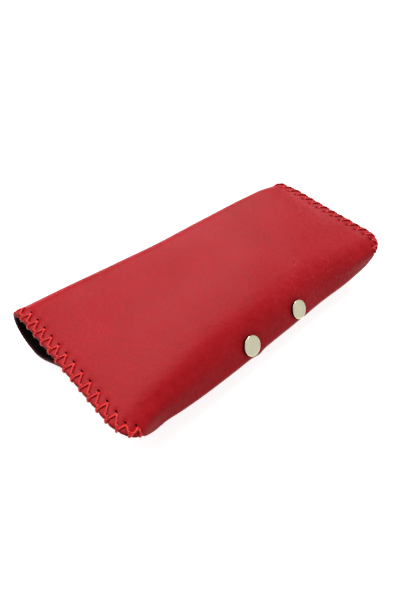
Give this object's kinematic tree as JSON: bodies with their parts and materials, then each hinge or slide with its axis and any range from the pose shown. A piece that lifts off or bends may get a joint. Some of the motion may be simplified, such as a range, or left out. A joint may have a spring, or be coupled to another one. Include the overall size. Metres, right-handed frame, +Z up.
{
  "type": "soft glasses case",
  "caption": "Soft leather pouch for glasses: one folded sheet with a pocket, a spine fold and a flap that rolls over the front and snaps shut.",
  "frame": {"origin": "on the surface the case lies on, under the middle of its box", "axes": "+X along the spine, +Y from the front to the spine, +Z up through the closed flap"},
  "size_m": [0.181, 0.0828, 0.026],
  "materials": {
    "red_leather": "smooth full grain, satin",
    "dark_lining": "matt brushed lining",
    "red_thread": "waxed twisted thread",
    "pale_nickel": "polished pale nickel plate",
    "spring_steel": "plated steel"
  },
  "bodies": {
    "body": {"pocket_leather": "red_leather", "pocket_lining": "dark_lining", "left_pocket_thread": "red_thread", "right_pocket_thread": "red_thread", "left_snap_stud": "spring_steel", "right_snap_stud": "spring_steel", "left_snap_eyelet": "spring_steel", "right_snap_eyelet": "spring_steel"},
    "spine": {"spine_leather": "red_leather", "spine_lining": "dark_lining"},
    "flap": {"flap_leather": "red_leather", "flap_lining": "dark_lining", "left_flap_thread": "red_thread", "right_flap_thread": "red_thread", "left_snap_cap": "pale_nickel", "right_snap_cap": "pale_nickel", "left_snap_socket": "spring_steel", "right_snap_socket": "spring_steel", "left_snap_spring": "spring_steel", "right_snap_spring": "spring_steel"}
  },
  "joints": [
    {"name": "spine_bend", "type": "hinge", "parent": "body", "child": "spine", "pos_m": [0, 0.03812, 0.00696], "axis": [-1, 0, 0], "range_deg": [0, 90]},
    {"name": "flap_bend", "type": "hinge", "parent": "spine", "child": "flap", "pos_m": [0, 0.03801, 0.01998], "axis": [-1, 0, 0], "range_deg": [0, 90]}
  ],
  "couplings": [
    {"joint": "flap_bend", "follows": "spine_bend", "ratio": 1}
  ]
}
